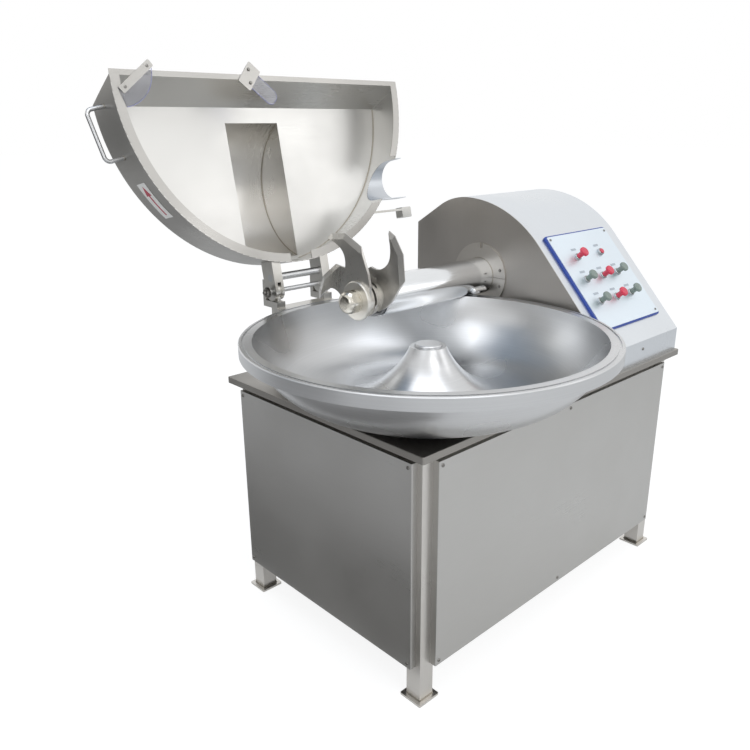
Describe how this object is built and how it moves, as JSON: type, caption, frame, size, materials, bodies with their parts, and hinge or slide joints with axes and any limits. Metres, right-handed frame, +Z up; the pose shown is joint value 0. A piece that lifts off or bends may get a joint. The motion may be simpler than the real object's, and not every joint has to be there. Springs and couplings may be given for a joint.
{
  "type": "bowl cutter",
  "caption": "Floor-standing stainless bowl cutter: turning bowl, knife head on a horizontal shaft, hinged lid, steel cabinet and push-button panel.",
  "frame": {"origin": "middle of the underside of the front-left foot plate, on the floor", "axes": "+X to the operator's right along the front, +Y from the front towards the back, +Z up"},
  "size_m": [1.886, 1.6772, 2.005],
  "materials": {
    "brushed_stainless": "brushed",
    "polished_stainless": "polished",
    "blade_steel": "ground",
    "blue_plastic": "satin",
    "plate_aluminium": "anodised",
    "bezel_black": "satin",
    "red_plastic": "moulded",
    "grey_green_plastic": "moulded",
    "clear_guard": "clear",
    "belt_rubber": "matte",
    "motor_paint": "enamel",
    "machined_iron": "machined",
    "machined_steel": "turned"
  },
  "bodies": {
    "cabinet": {"bowl_bearing_housing": "machined_iron", "bowl_gearmotor": "motor_paint", "bowl_mount_plate": "machined_steel", "button_bezels": "bezel_black", "control_box": "blue_plastic", "control_plate": "plate_aluminium", "deck": "brushed_stainless", "drive_belts": "belt_rubber", "frame_rails": "brushed_stainless", "front_panel": "brushed_stainless", "hinge_pedestal": "brushed_stainless", "hinge_pin": "polished_stainless", "housing_inner_end": "brushed_stainless", "housing_outer_end": "brushed_stainless", "housing_rear_panel": "brushed_stainless", "housing_skin": "brushed_stainless", "knife_motor": "motor_paint", "knife_shaft_tube": "polished_stainless", "left_panel": "brushed_stainless", "leg_front_left": "brushed_stainless", "leg_front_right": "brushed_stainless", "leg_rear_left": "brushed_stainless", "leg_rear_right": "brushed_stainless", "rear_panel": "brushed_stainless", "right_panel": "brushed_stainless", "shaft_bearing_blocks": "machined_iron", "tube_collar": "brushed_stainless"},
    "lid": {"lid_wall": "brushed_stainless", "lid_top_plate": "brushed_stainless", "lid_front_skirt": "brushed_stainless", "lid_rim_flange": "brushed_stainless", "knife_hood": "brushed_stainless", "shaft_saddle": "brushed_stainless", "lid_handle": "polished_stainless", "lid_hinge_ears": "brushed_stainless", "lid_tie_rod": "polished_stainless", "lid_switch_block": "brushed_stainless", "guard_bars": "brushed_stainless", "guard_strip": "clear_guard"},
    "bowl": {"bowl": "polished_stainless", "bowl_cap": "polished_stainless", "bowl_spindle": "machined_steel"},
    "knife": {"knife_shaft": "machined_steel", "blade_pair_1": "blade_steel", "blade_pair_2": "blade_steel", "blade_pair_3": "blade_steel", "blade_clamp_rings": "polished_stainless", "nose_nut": "polished_stainless", "knife_pulley": "machined_iron"},
    "motor_rotor": {"motor_pulley": "machined_iron"},
    "mushroom_stop": {"mushroom_stop": "red_plastic"},
    "button_small_red": {"button_small_red": "red_plastic"},
    "mushroom_lid": {"mushroom_lid": "grey_green_plastic"},
    "mushroom_knife_stop": {"mushroom_knife_stop": "red_plastic"},
    "mushroom_knife_start": {"mushroom_knife_start": "grey_green_plastic"},
    "mushroom_bowl_slow": {"mushroom_bowl_slow": "grey_green_plastic"},
    "mushroom_bowl_stop": {"mushroom_bowl_stop": "red_plastic"},
    "mushroom_bowl_fast": {"mushroom_bowl_fast": "grey_green_plastic"}
  },
  "joints": [
    {"name": "lid_hinge", "type": "hinge", "parent": "cabinet", "child": "lid", "pos_m": [0.278, 0.931, 1.19], "axis": [1, 0, 0], "range_deg": [0, 101.1]},
    {"name": "bowl_spin", "type": "hinge", "parent": "cabinet", "child": "bowl", "pos_m": [0.278, 0.24, 1.137], "axis": [0, 0, 1], "continuous": true},
    {"name": "knife_spin", "type": "hinge", "parent": "cabinet", "child": "knife", "pos_m": [0.278, 0.55, 1.2], "axis": [1, 0, 0], "continuous": true},
    {"name": "motor_spin", "type": "hinge", "parent": "cabinet", "child": "motor_rotor", "pos_m": [1.3, 0.55, 0.38], "axis": [1, 0, 0], "continuous": true},
    {"name": "mushroom_stop_press", "type": "slide", "parent": "cabinet", "child": "mushroom_stop", "axis": [0, 0.7455, -0.6665], "range_m": [0, 0.004], "stiffness_N_per_m": 400},
    {"name": "button_small_red_press", "type": "slide", "parent": "cabinet", "child": "button_small_red", "axis": [0, 0.7455, -0.6665], "range_m": [0, 0.004], "stiffness_N_per_m": 400},
    {"name": "mushroom_lid_press", "type": "slide", "parent": "cabinet", "child": "mushroom_lid", "axis": [0, 0.7455, -0.6665], "range_m": [0, 0.004], "stiffness_N_per_m": 400},
    {"name": "mushroom_knife_stop_press", "type": "slide", "parent": "cabinet", "child": "mushroom_knife_stop", "axis": [0, 0.7455, -0.6665], "range_m": [0, 0.004], "stiffness_N_per_m": 400},
    {"name": "mushroom_knife_start_press", "type": "slide", "parent": "cabinet", "child": "mushroom_knife_start", "axis": [0, 0.7455, -0.6665], "range_m": [0, 0.004], "stiffness_N_per_m": 400},
    {"name": "mushroom_bowl_slow_press", "type": "slide", "parent": "cabinet", "child": "mushroom_bowl_slow", "axis": [0, 0.7455, -0.6665], "range_m": [0, 0.004], "stiffness_N_per_m": 400},
    {"name": "mushroom_bowl_stop_press", "type": "slide", "parent": "cabinet", "child": "mushroom_bowl_stop", "axis": [0, 0.7455, -0.6665], "range_m": [0, 0.004], "stiffness_N_per_m": 400},
    {"name": "mushroom_bowl_fast_press", "type": "slide", "parent": "cabinet", "child": "mushroom_bowl_fast", "axis": [0, 0.7455, -0.6665], "range_m": [0, 0.004], "stiffness_N_per_m": 400}
  ],
  "couplings": [
    {"joint": "motor_spin", "follows": "knife_spin", "ratio": 0.77778}
  ]
}
